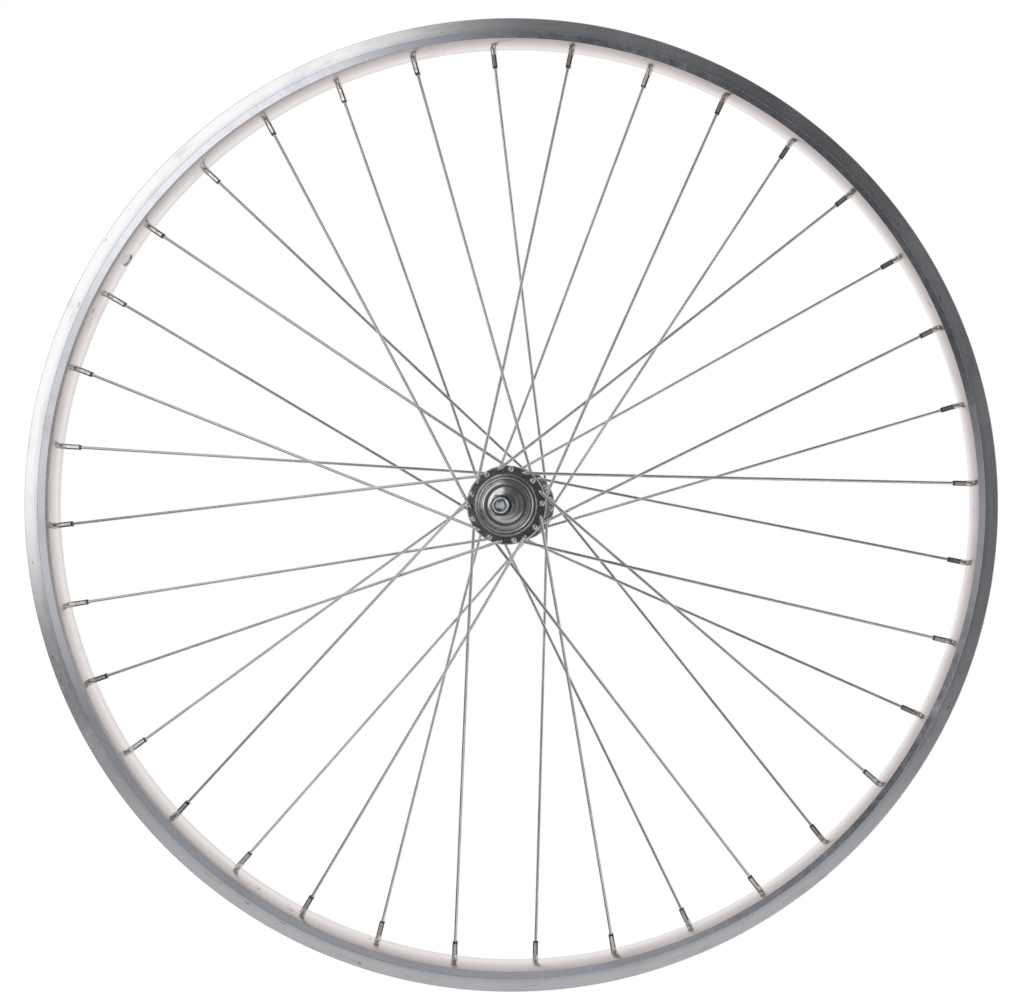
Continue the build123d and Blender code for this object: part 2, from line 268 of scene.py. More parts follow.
class StageSizes(bpy.types.PropertyGroup):
    """Camera, light, floor and the tent that metal mirrors."""

    camera_x: length("Camera right", "Camera to the right of the axle", 87.4)
    camera_y: length("Camera distance", "Camera in front of the rim's middle", 700.0)
    camera_z: length("Camera height", "Camera above the axle", 3.9)
    focal: amount("Focal length", "Lens in millimetres on a 36 mm sensor", 37.16)
    shift_x: FloatProperty(name="Shift X", description="Lens shift sideways", default=-0.1305)
    shift_y: FloatProperty(name="Shift Y", description="Lens shift upwards", default=-0.005)
    tent_front: length("Tent front", "Tent's wall behind the camera, from the rim's middle", 2200.0)
    tent_back: length("Tent back", "Tent's open end, behind the rim's middle", 60.0)
    tent_half: length("Tent width", "Half the tent's width and height", 2600.0)
    floor_drop: length("Floor", "Axle to the floor", 750.0)
    floor_radius: length("Floor radius", "Radius of the pale floor", 850.0)
    soft_light: amount("Soft light", "Strength of the white room on dull surfaces", 0.7)


class WheelSettings(bpy.types.PropertyGroup):
    """Everything that a user would change."""

    rim: PointerProperty(type=RimSizes)
    lacing: PointerProperty(type=LacingSizes)
    nipple: PointerProperty(type=NippleSizes)
    hub: PointerProperty(type=HubSizes)
    axle: PointerProperty(type=AxleSizes)
    finish: PointerProperty(type=Finishes)
    stage: PointerProperty(type=StageSizes)


class Graph:
    """A node tree written as calls: each call adds a node, sets it up and wires its inputs."""

    def __init__(self, tree):
        self.tree = tree

    def __call__(self, kind, inputs=None, **setup):
        node = self.tree.nodes.new(kind)
        for key, value in setup.items():
            setattr(node, key, value)
        for key, value in (inputs or {}).items():
            if isinstance(value, bpy.types.NodeSocket):
                self.tree.links.new(value, node.inputs[key])
            else:
                node.inputs[key].default_value = value
        return node

    def math(self, operation, *values):
        """Result of one sum."""
        return self("ShaderNodeMath", dict(enumerate(values)), operation=operation).outputs[0]

    def vector(self, operation, *values, result=0):
        """Result of one vector sum."""
        return self("ShaderNodeVectorMath", dict(enumerate(values)), operation=operation).outputs[result]

    def towards(self, place, degrees):
        """How far a place lies in a direction, given as an angle round the wheel."""
        return self.vector("DOT_PRODUCT", place, tuple(on_wheel(1, radians(degrees), 0)), result=1)

    def most(self, *values):
        """The largest of several values."""
        largest = values[0]
        for value in values[1:]:
            largest = self.math("MAXIMUM", largest, value)
        return largest

    def noise(self, place, scale=1.0, detail=2.0, roughness=0.5):
        """Noise value at a place."""
        inputs = {"Vector": place, "Scale": scale, "Detail": detail, "Roughness": roughness}
        return self("ShaderNodeTexNoise", inputs).outputs[0]

    def ramp(self, value, low, high, to_low=0.0, to_high=1.0):
        """Value brought smoothly from one range to another."""
        inputs = dict(enumerate((value, low, high, to_low, to_high)))
        return self("ShaderNodeMapRange", inputs, interpolation_type="SMOOTHSTEP").outputs[0]

    def blend(self, share, first, second):
        """Colour between two colours."""
        node = self("ShaderNodeMix", {0: share, 6: first, 7: second}, data_type="RGBA")
        return node.outputs[2]


# Shapes

def eased(corners):
    """Outline of (radius, y) points from corners of (radius, y, rounding)."""
    outline = []
    for index, (radius, y, rounding) in enumerate(corners):
        here = Vector((radius, y))
        if rounding == 0:
            outline.append(here)
            continue
        back = Vector(corners[index - 1][:2]) - here
        on = Vector(corners[(index + 1) % len(corners)][:2]) - here
        reach = rounding / tan(back.angle(on) / 2)
        reach = min(reach, EASE_SHARE * back.length, EASE_SHARE * on.length)
        start = here + back.normalized() * reach
        end = here + on.normalized() * reach
        for step in range(EASE_STEPS + 1):
            share = step / EASE_STEPS
            outline.append(start.lerp(here, share).lerp(here.lerp(end, share), share))
    return outline


def arc(start, end, steps):
    """Points of an arc that leaves start along the radius and ends at end."""
    rise = end[1] - start[1]
    run = end[0] - start[0]
    bend = (run * run + rise * rise) / (2 * rise)
    sweep = 2 * np.arctan2(rise, run)
    turns = [sweep * step / steps for step in range(steps + 1)]
    return [(start[0] + bend * sin(t), start[1] + bend * (1 - cos(t)), 0) for t in turns]


def dome(start, end, slope, steps):
    """Points of a dome that leaves start at a slope and bends evenly down to end."""
    run, drop = end[0] - start[0], start[1] - end[1]
    bend = drop - run * tan(slope)
    shares = [step / steps for step in range(steps + 1)]
    return [(start[0] + run * s, start[1] - run * tan(slope) * s - bend * s * s, 0) for s in shares]


def closed(mesh):
    """The mesh with its poles merged and its faces pointing outwards."""
    work = bmesh.new()
    work.from_mesh(mesh)
    bmesh.ops.remove_doubles(work, verts=work.verts, dist=WELD)
    bmesh.ops.recalc_face_normals(work, faces=work.faces)
    work.to_mesh(mesh)
    work.free()
    return mesh


def turned(outline, segments, relief=None):
    """Mesh of a closed outline turned round Y. Relief gives each point's radius by height and angle."""
    rows = np.array([point[:2] for point in outline])
    angles = np.arange(segments) * 2 * pi / segments
    radii = np.repeat(rows[:, :1], segments, axis=1)
    heights = np.repeat(rows[:, 1:], segments, axis=1)
    if relief:
        radii = relief(radii, heights, angles)
    points = np.stack((radii * np.cos(angles), heights, radii * np.sin(angles)), axis=-1)
    faces = []
    for row in range(len(rows)):
        here, there = row * segments, (row + 1) % len(rows) * segments
        for step in range(segments):
            after = (step + 1) % segments
            faces.append((here + step, here + after, there + after, there + step))
    mesh = bpy.data.meshes.new("turned")
    mesh.from_pydata(points.reshape(-1, 3).tolist(), [], faces)
    return closed(mesh)


def thread_relief(radius, low, high, pitch, depth):
    """Relief that cuts a screw thread into the stretch of that radius between two heights."""

    def relief(radii, heights, angles):
        on_thread = (np.abs(radii - radius) < WELD) & (heights > low) & (heights < high)
        wave = np.abs((heights / pitch - angles / (2 * pi)) % 1.0 * 2 - 1)
        fade = np.clip(np.minimum(heights - low, high - heights) / pitch, 0, 1)
        return np.where(on_thread, radii - depth * wave * fade, radii)

    return relief


def thread_rows(radius, low, high, pitch):
    """Outline points close enough together to carry a thread."""
    rows = THREAD_STEPS * int(round((high - low) / pitch))
    return [(radius, low + (high - low) * row / rows, 0) for row in range(rows + 1)]


def mirrored(outline, side):
    """The outline as it is for the right side, or turned over for the left."""
    return [(point[0], side * point[1]) for point in outline]


def rod(radius, reach, sides):
    """A round bit along Y that reaches equally far both ways."""
    return turned([(0, -reach), (radius, -reach), (radius, reach), (0, reach)], sides)


def drill_bits(form, places):
    """One mesh of copies of a form that stands along Y, each at an origin and along an axis."""
    bits = bmesh.new()
    for origin, axis in places:
        bit = form.copy()
        bit.transform(Matrix.Translation(origin) @ AXIS.rotation_difference(axis).to_matrix().to_4x4())
        bits.from_mesh(bit)
        bpy.data.meshes.remove(bit)
    mesh = bpy.data.meshes.new("drill_bits")
    bits.to_mesh(mesh)
    bits.free()
    return mesh


def evaluated(carrier):
    """Plain mesh of an object with its modifiers applied; the object is then removed."""
    result = carrier.evaluated_get(bpy.context.evaluated_depsgraph_get())
    mesh = bpy.data.meshes.new_from_object(result)
    carrier.modifiers.clear()
    bpy.data.objects.remove(carrier)
    return mesh


def placed(name, mesh):
    """An object of that mesh, linked to the scene."""
    piece = bpy.data.objects.new(name, mesh)
    bpy.context.scene.collection.objects.link(piece)
    return piece


def drilled(mesh, bits):
    """The mesh with the bits taken out of it."""
    carrier, cutter = placed("drilled", mesh), placed("cutter", bits)
    drill = carrier.modifiers.new("drill", "BOOLEAN")
    drill.operation = "DIFFERENCE"
    drill.solver = "EXACT"
    drill.object = cutter
    result = evaluated(carrier)
    bpy.data.objects.remove(cutter)
    return result


def grown(mesh, tree, inputs):
    """Plain mesh that a geometry node tree grows on a carrier mesh, its inputs given by name."""
    carrier = placed("carrier", mesh)
    modifier = carrier.modifiers.new("grow", "NODES")
    modifier.node_group = tree
    for item in tree.interface.items_tree:
        if item.item_type == "SOCKET" and item.in_out == "INPUT" and item.name in inputs:
            modifier[item.identifier] = inputs[item.name]
    return evaluated(carrier)


def finished(name, mesh, finish, body, slot, *nodes):
    """Put a finished piece on its body, in place of its solids."""
    mesh.name = name
    mesh.materials.clear()
    mesh.materials.append(finish)
    mesh.shade_smooth()
    mesh.set_sharp_from_angle(angle=CREASE)
    piece = placed(name, mesh)
    flatten = piece.modifiers.new("flat faces", "WEIGHTED_NORMAL")
    flatten.keep_sharp = True
    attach(piece, body)
    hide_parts(*nodes)


def on_wheel(radius, angle, y):
    """Point at a radius and an angle round the wheel."""
    return Vector((radius * cos(angle), y, radius * sin(angle)))


class Route:
    """Way of one spoke: from its flange hole, past the outermost crossing, to the rim."""

    def __init__(self, number, settings):
        rim, lacing, nipple, hub = settings.rim, settings.lacing, settings.nipple, settings.hub

        # Spokes run to the left and the right flange in turn, and the pattern repeats after four.
        # A leading one has its flange hole at a larger angle than its rim hole.
        # An outside one has its elbow on the flange's outer face.
        kind = number % 4
        on_left, leads, outside = kind in (0, 2), kind in (2, 3), kind in (1, 2)
        side = -1 if on_left else 1
        flange_y = side * (hub.left_flange if on_left else hub.right_flange)
        step = 2 * pi / lacing.spokes
        wire_r = lacing.wire / 2
        hole_r = hub.flange / 2 - hub.hole_edge
        floor_r = rim.radius - rim.depth + rim.floor
        rim_angle = lacing.first_angle - (number - 1) * step
        to_elbow = side if outside else -side
        lift = hub.flange_thick / 2 + lacing.elbow_gap + wire_r
        hole_angle = rim_angle + (lacing.lacing_angle if leads else -lacing.lacing_angle)
        self.hole = on_wheel(hole_r, hole_angle, flange_y)
        self.head_out = Vector((0, -to_elbow, 0))
        self.head_seat = self.hole + self.head_out * hub.flange_thick / 2
        self.elbow = self.hole - self.head_out * lift
        self.rim_seat = on_wheel(floor_r, rim_angle, side * lacing.stagger)

        # One spoke step from its rim hole, an outside spoke passes behind an inside one.
        hub_side = sin(lacing.lacing_angle - step) * hole_r
        rim_side = sin(step) * floor_r
        share = hub_side / (hub_side + rim_side)
        tuck = side * (wire_r + lacing.weave_gap / 2)
        self.crossing = self.elbow.lerp(self.rim_seat, share)
        self.crossing.y = flange_y + (self.rim_seat.y - flange_y) * share + (-tuck if outside else tuck)
        self.axis = (self.rim_seat - self.crossing).normalized()
        self.tip = self.rim_seat - self.axis * (nipple.drop - lacing.thread + rim.floor)


def routes(settings):
    """Ways of all the spokes, in order round the rim."""
    return [Route(number, settings) for number in range(1, settings.lacing.spokes + 1)]


# Finishes

def metal(name, base):
    """A bare metal with its graph and shader, and where a point of the surface is."""
    material = bpy.data.materials.new(name)
    material.use_nodes = True
    graph = Graph(material.node_tree)
    shader = material.node_tree.nodes["Principled BSDF"]
    shader.inputs["Metallic"].default_value = 1.0
    shader.inputs["Base Color"].default_value = base
    place = graph("ShaderNodeTexCoord").outputs["Object"]
    return material, graph, shader, place


def dimmed(base, red, green=None, blue=None):
    """A darker tone of a colour, by one share or by one for each channel."""
    shares = (red, green or red, blue or red)
    return (*(channel * share for channel, share in zip(base, shares)), 1.0)


def round_axle(graph, place, along, across):
    """Place stretched round the axle, so that noise comes out as lines; the radius and the height."""
    flat = graph.vector("MULTIPLY", place, (1, 0, 1))
    radius = graph.vector("LENGTH", flat, result=1)
    round_way = graph.vector("MULTIPLY", graph.vector("NORMALIZE", flat), (along, 0, along))
    height = graph("ShaderNodeSeparateXYZ", {0: place}).outputs[1]
    line = graph("ShaderNodeCombineXYZ", {1: graph.math("ADD", radius, height)}).outputs[0]
    lines = graph.vector("MULTIPLY", line, (0, across, 0))
    return graph.vector("ADD", round_way, lines), radius, height


def bumped(graph, shader, height, strength, depth):
    """Let a height value break the surface."""
    inputs = {"Height": height, "Strength": strength, "Distance": depth}
    graph.tree.links.new(graph("ShaderNodeBump", inputs).outputs[0], shader.inputs["Normal"])


def wired(graph, shader, **sockets):
    """Wire results to the shader's inputs, named with an underline for each space."""
    for name, value in sockets.items():
        graph.tree.links.new(value, shader.inputs[name.replace("_", " ")])


def turned_metal(name, base, rough, spread, dulled):
    """Lathe-turned, plated metal: fine lines round the axle, clouded by handling."""
    material, graph, shader, place = metal(name, base)
    lines_at, _, _ = round_axle(graph, place, **TURNING)
    lines = graph.noise(lines_at, detail=3.0)
    cloud = graph.noise(place, scale=160.0, detail=3.0, roughness=0.6)
    shade = graph.blend(graph.ramp(cloud, *CLOUD), dimmed(base, dulled), base)
    grain = graph.ramp(lines, *NOISE, to_low=rough - spread, to_high=rough + spread)
    wear = graph.ramp(cloud, 0.4, 0.7, to_low=0.05, to_high=0.0)
    wired(graph, shader, Base_Color=shade, Roughness=graph.math("ADD", grain, wear))
    bumped(graph, shader, lines, strength=0.12, depth=0.04 * MM)
    return material


def axle_steel(finish, axle):
    """Turned steel, its bore drawn smooth."""
    base = tuple(finish.axle)
    material, graph, shader, place = metal("axle_steel", base)
    lines_at, radius, _ = round_axle(graph, place, **TURNING)
    lines = graph.noise(lines_at, detail=3.0)
    cloud = graph.noise(place, scale=240.0, detail=3.0, roughness=0.6)
    shade = graph.blend(graph.ramp(cloud, *CLOUD), dimmed(base, 0.8), base)
    bore_r = axle.bore / 2
    smooth = graph.ramp(radius, bore_r + 0.05 * MM, bore_r + 0.3 * MM, to_low=0.10, to_high=0.0)
    grain = graph.ramp(lines, *NOISE, to_low=0.14, to_high=0.24)
    wired(graph, shader, Base_Color=shade, Roughness=graph.math("SUBTRACT", grain, smooth))
    bumped(graph, shader, lines, strength=0.06, depth=0.04 * MM)
    return material


def rim_tones(graph, finish, rim, radius, off_middle):
    """Clean colours of the rim: its bed, darkened towards both edges by painted shade, the shoulders and
    the ground side walls.
    """
    # Painted shade: the bed darkens from its middle towards both edges.
    outwards = graph.ramp(off_middle, -0.1 * rim.bed_width, 0.5 * rim.bed_width)
    bed = graph.blend(outwards, tuple(finish.rim_bed), tuple(finish.rim_bed_shade))
    track_r = rim.radius - rim.track
    ground = graph.ramp(radius, track_r - 0.5 * MM, track_r + 4.0 * MM)
    side = graph.blend(ground, tuple(finish.rim_shoulder), tuple(finish.rim))
    bed_edge = rim.radius - rim.depth + rim.bed_crown
    on_side = graph.ramp(radius, bed_edge - 0.3 * MM, bed_edge + 0.4 * MM)
    return graph.blend(on_side, bed, side)


def rim_stains(graph, place):
    """How strongly the smears and specks of handling cover the rim."""
    smears_at, _, _ = round_axle(graph, place, along=9.0, across=160.0)
    specks_at, _, _ = round_axle(graph, place, along=34.0, across=260.0)
    smears = graph.noise(smears_at, detail=3.0, roughness=0.6)
    specks = graph.noise(specks_at)
    return graph.most(graph.ramp(smears, 0.52, 0.78, to_high=0.35),
                      graph.ramp(specks, 0.70, 0.76, to_high=0.75))


def in_channel(graph, rim, radius, off_middle):
    """1 inside the tyre's channel. Its walls rise from the edges of the well, the bed's less steeply."""
    inner = rim.width / 2 - rim.wall
    between = graph.ramp(off_middle, inner + 0.1 * MM, inner + 0.4 * MM, to_low=1.0, to_high=0.0)
    floor_r = rim.radius - rim.depth + rim.floor
    rise = graph.most(graph.math("SUBTRACT", off_middle, rim.well / 2), 0.0)
    above = graph.math("SUBTRACT", radius, rise)
    return graph.math("MULTIPLY", between, graph.ramp(above, floor_r - 0.4 * MM, floor_r - 0.2 * MM))


def valve_edge_shade(graph, rim, place, valve_way):
    """1 on the wall and at the edge of the valve hole, where painted shade darkens the rim."""
    along = graph.vector("DOT_PRODUCT", place, valve_way, result=1)
    aside = graph.vector("LENGTH", graph.vector("CROSS_PRODUCT", place, valve_way), result=1)
    valve_r = rim.valve_hole / 2
    near_hole = graph.ramp(aside, valve_r + 0.1 * MM, valve_r + 0.5 * MM, to_low=1.0, to_high=0.0)
    return graph.math("MULTIPLY", near_hole, graph.math("GREATER_THAN", along, 0.0))


def rim_alloy(finish, rim, valve_way):
    """Rolled aluminium: fine lines round the rim, handling marks, ground brake tracks, painted shade at the
    bed's edges and the valve hole, and a channel painted paler as painted light.
    """
    material, graph, shader, place = metal("rim_alloy", tuple(finish.rim))
    lines_at, radius, height = round_axle(graph, place, along=70.0, across=2600.0)
    lines = graph.noise(lines_at, detail=4.0, roughness=0.6)
    cloud = graph.noise(place, scale=22.0, detail=4.0, roughness=0.6)
    off_middle = graph.math("ABSOLUTE", height)
    channel = in_channel(graph, rim, radius, off_middle)
    shade = rim_tones(graph, finish, rim, radius, off_middle)
    shade = graph.blend(rim_stains(graph, place), shade, tuple(finish.rim_stain_and_shade))
    # Painted light: the inside of the channel is brightened.
    shade = graph.blend(channel, shade, tuple(finish.rim_channel_light))
    # Painted shade on the wall and edge of the valve hole.
    shade = graph.blend(valve_edge_shade(graph, rim, place, valve_way), shade, tuple(finish.rim_stain_and_shade))
    rough = graph.ramp(lines, *NOISE, to_low=0.15, to_high=0.22)
    rough = graph.math("ADD", rough, graph.math("MULTIPLY", channel, 0.08))
    rough = graph.math("ADD", rough, graph.ramp(cloud, 0.45, 0.7, to_high=0.08))
    wired(graph, shader, Base_Color=shade, Roughness=rough)
    bumped(graph, shader, lines, strength=0.01, depth=0.05 * MM)
    return material


def drawn_wire(finish):
    """Zinc-plated wire: a soft gloss with cloudy, slightly duller patches."""
    base = tuple(finish.spoke)
    material, graph, shader, place = metal("drawn_wire", base)
    cloud = graph.noise(place, scale=60.0, detail=3.0, roughness=0.6)
    shade = graph.blend(graph.ramp(cloud, 0.4, 0.65), dimmed(base, 0.85), base)
    rough = graph.ramp(cloud, *NOISE, to_low=0.20, to_high=0.30)
    wired(graph, shader, Base_Color=shade, Roughness=rough)
    bumped(graph, shader, graph.noise(place, scale=900.0), strength=0.05, depth=0.02 * MM)
    return material


def nickel_plate(finish):
    """Nickel over brass: warm where the plating is thin, dark along the edges from worn brass and painted
    shade.
    """
    base = tuple(finish.nipple)
    material, graph, shader, place = metal("nickel_plate", base)
    cloud = graph.noise(place, scale=420.0, detail=3.0, roughness=0.6)
    shade = graph.blend(graph.ramp(cloud, 0.40, 0.62), dimmed(base, 0.80, 0.76, 0.70), base)
    # Dark edges: worn brass and painted shade.
    edge = graph("ShaderNodeAttribute", attribute_name="edge").outputs["Fac"]
    shade = graph.blend(edge, shade, tuple(finish.nipple_wear_and_shade))
    rough = graph.ramp(cloud, *NOISE, to_low=0.30, to_high=0.18)
    wired(graph, shader, Base_Color=shade, Roughness=rough)
    bumped(graph, shader, graph.noise(place, scale=1400.0), strength=0.04, depth=0.04 * MM)
    return material


# Geometry node trees

def geometry_tree(name, **inputs):
    """An empty geometry node tree, its graph, and its named inputs as sockets."""
    tree = bpy.data.node_groups.new(name, "GeometryNodeTree")
    tree.interface.new_socket("Geometry", in_out="INPUT", socket_type="NodeSocketGeometry")
    tree.interface.new_socket("Geometry", in_out="OUTPUT", socket_type="NodeSocketGeometry")
    for label, kind in inputs.items():
        tree.interface.new_socket(label, in_out="INPUT", socket_type="NodeSocket" + kind)
    graph = Graph(tree)
    return tree, graph, graph("NodeGroupInput").outputs


def attribute(graph, name, kind):
    """A value that the carrier's points hold."""
    return graph("GeometryNodeInputNamedAttribute", {"Name": name}, data_type=kind).outputs[0]


def ending(graph, geometry, material):
    """Make instances real, give them their finish and hand them out."""
    real = graph("GeometryNodeRealizeInstances", {0: geometry}).outputs[0]
    dressed = graph("GeometryNodeSetMaterial", {"Geometry": real, "Material": material}).outputs[0]
    graph("NodeGroupOutput", {0: dressed})


def spoke_tree():
    """Wires bent along their carrier's lines, with a head on each first point."""
    tree, graph, given = geometry_tree(
        "laced_spokes", Wire="Float", Sides="Int", Steps="Int", Head="Object", Finish="Material"
    )
    line = graph("GeometryNodeMeshToCurve", {0: given["Geometry"]}).outputs[0]
    bend = attribute(graph, "bend", "FLOAT")
    bent = graph("GeometryNodeFilletCurve", {"Curve": line, "Count": given["Steps"], "Radius": bend},
                 mode="POLY").outputs[0]
    half = graph.math("MULTIPLY", given["Wire"], 0.5)
    ring = graph("GeometryNodeCurvePrimitiveCircle", {"Resolution": given["Sides"], "Radius": half})
    wire = graph("GeometryNodeCurveToMesh",
                 {"Curve": bent, "Profile Curve": ring.outputs[0], "Fill Caps": True}).outputs[0]
    form = graph("GeometryNodeObjectInfo", {"Object": given["Head"]}).outputs["Geometry"]
    facing = graph("FunctionNodeAlignRotationToVector",
                   {"Vector": attribute(graph, "facing", "FLOAT_VECTOR")}, axis="Y").outputs[0]
    heads = graph("GeometryNodeInstanceOnPoints",
                  {"Points": given["Geometry"], "Selection": attribute(graph, "headed", "BOOLEAN"),
                   "Instance": form, "Rotation": facing}).outputs[0]
    joined = graph("GeometryNodeJoinGeometry", {0: wire})
    graph.tree.links.new(heads, joined.inputs[0])
    ending(graph, joined.outputs[0], given["Finish"])
    return tree


def nipple_tree():
    """A nipple on each point, along the spoke there, a flat outwards and turned a little by chance."""
    tree, graph, given = geometry_tree(
        "seated_nipples", Form="Object", Turn="Float", Seed="Int", Finish="Material"
    )
    form = graph("GeometryNodeObjectInfo", {"Object": given["Form"]}).outputs["Geometry"]
    facing = graph("FunctionNodeAlignRotationToVector",
                   {"Vector": attribute(graph, "facing", "FLOAT_VECTOR")}, axis="Y").outputs[0]
    facing = graph("FunctionNodeAlignRotationToVector", {"Rotation": facing, "Vector": (0, -1, 0)},
                   axis="Z", pivot_axis="Y").outputs[0]
    back = graph.math("MULTIPLY", given["Turn"], -1.0)
    chance = graph("FunctionNodeRandomValue", {2: back, 3: given["Turn"], "Seed": given["Seed"]},
                   data_type="FLOAT").outputs[1]
    spin = graph("FunctionNodeAxisAngleToRotation", {"Axis": (0, 1, 0), "Angle": chance}).outputs[0]
    way = graph("FunctionNodeRotateRotation", {0: facing, 1: spin}, rotation_space="LOCAL").outputs[0]
    nipples = graph("GeometryNodeInstanceOnPoints",
                    {"Points": given["Geometry"], "Instance": form, "Rotation": way}).outputs[0]
    ending(graph, nipples, given["Finish"])
    return tree


def carrier_mesh(points, edges, **values):
    """Points and lines for a node tree, each named value a list with one entry for each point."""
    mesh = bpy.data.meshes.new("carrier")
    mesh.from_pydata([tuple(point) for point in points], edges, [])
    for name, entries in values.items():
        kind = {bool: "BOOLEAN", float: "FLOAT", Vector: "FLOAT_VECTOR"}[type(entries[0])]
        layer = mesh.attributes.new(name, kind, "POINT")
        key = "vector" if kind == "FLOAT_VECTOR" else "value"
        layer.data.foreach_set(key, np.array([entries]).ravel())
    return mesh


# Operators

class WHEEL_OT_rim(bpy.types.Operator):
    """Roll the rim and drill its spoke holes and valve hole"""

    bl_idname = "wheel.rim"
    bl_label = "Rim"

    def execute(self, context):
        settings = context.scene.wheel
        rim, lacing = settings.rim, settings.lacing
        floor_r = rim.radius - rim.depth + rim.floor
        reach = rim.depth / 2
        mesh = turned(self.section(rim, floor_r), rim.segments)
        bit = rod(settings.nipple.hole / 2, reach, HOLE_SIDES)
        mesh = drilled(mesh, drill_bits(bit, [(way.rim_seat, way.axis) for way in routes(settings)]))
        valve_way = on_wheel(1, lacing.first_angle + rim.valve_steps * 2 * pi / lacing.spokes, 0)
        bit = rod(rim.valve_hole / 2, reach, VALVE_SIDES)
        mesh = drilled(mesh, drill_bits(bit, [(floor_r * valve_way, valve_way)]))
        finished("rim_hoop", mesh, rim_alloy(settings.finish, rim, valve_way), "wheel", "rim", "rim")
        return {"FINISHED"}

    def section(self, rim, floor_r):
        """Outline of the rolled section: crown of the bed, right side, floor of the well, left side."""
        half, bed_half = rim.width / 2, rim.bed_width / 2
        inner = half - rim.wall
        hook_y, hook_r = inner - rim.hook, rim.radius - rim.hook_height
        bed_r, seat_r = rim.radius - rim.depth, rim.radius - rim.bead_flange
        bend, track_edge, outer_edge, hook_edge = 0.5 * MM, 0.35 * MM, 0.6 * MM, 0.4 * MM
        hook_root, bead_root, well_bend = 0.3 * MM, 0.4 * MM, 0.8 * MM
        crown = arc((0, bed_r), (bed_half, bed_r + rim.bed_crown), BED_STEPS)
        side = [(radius, y, 0) for y, radius, _ in crown[:-1]] + [
            (bed_r + rim.bed_crown, bed_half, bend),
            (rim.radius - rim.track, half, track_edge),
            (rim.radius, half, outer_edge),
            (rim.radius, hook_y, hook_edge),
            (hook_r, hook_y, hook_root),
            (hook_r - rim.hook_run, inner, hook_root),
            (seat_r, inner, bead_root),
            (seat_r, inner - rim.ledge, bend),
            (floor_r, rim.well / 2, well_bend),
        ]
        other = [(radius, -y, rounding) for radius, y, rounding in side[:0:-1]]
        return eased(side + [(floor_r, 0.0, 0)] + other)


class WHEEL_OT_spokes(bpy.types.Operator):
    """Bend and lace the spokes"""

    bl_idname = "wheel.spokes"
    bl_label = "Spokes"

    def execute(self, context):
        settings = context.scene.wheel
        lacing = settings.lacing
        points, edges, bends, headed, facing = [], [], [], [], []
        for route in routes(settings):
            first = len(points)
            start = route.head_seat + route.head_out * lacing.head_height / 2
            line = [start, route.elbow, route.crossing, route.tip]
            points += line
            edges += [(first + step, first + step + 1) for step in range(len(line) - 1)]
            bends += [0.0, lacing.elbow, lacing.weave_bend, 0.0]
            headed += [True, False, False, False]
            facing += [route.head_out] * len(line)
        form = placed("spoke_head", self.button(lacing))
        wire = drawn_wire(settings.finish)
        mesh = grown(
            carrier_mesh(points, edges, bend=bends, headed=headed, facing=facing),
            spoke_tree(),
            {"Wire": lacing.wire, "Sides": lacing.wire_sides, "Steps": lacing.bend_steps,
             "Head": form, "Finish": wire},
        )
        bpy.data.objects.remove(form)
        finished("laced_spokes", mesh, wire, "wheel", "spoke", *SPOKE_NODES)
        return {"FINISHED"}

    def button(self, lacing):
        """A spoke's head along Y: a low edge under a dome."""
        radius, under = lacing.head / 2, -lacing.head_height / 2
        dome_height = lacing.head_height - lacing.head_rim
        turns = [pi / 2 * step / lacing.bend_steps for step in range(lacing.bend_steps + 1)]
        outline = [(0, under), (radius, under)]
        outline += [(radius * cos(t), under + lacing.head_rim + dome_height * sin(t)) for t in turns]
        return turned(outline, HEAD_SIDES)


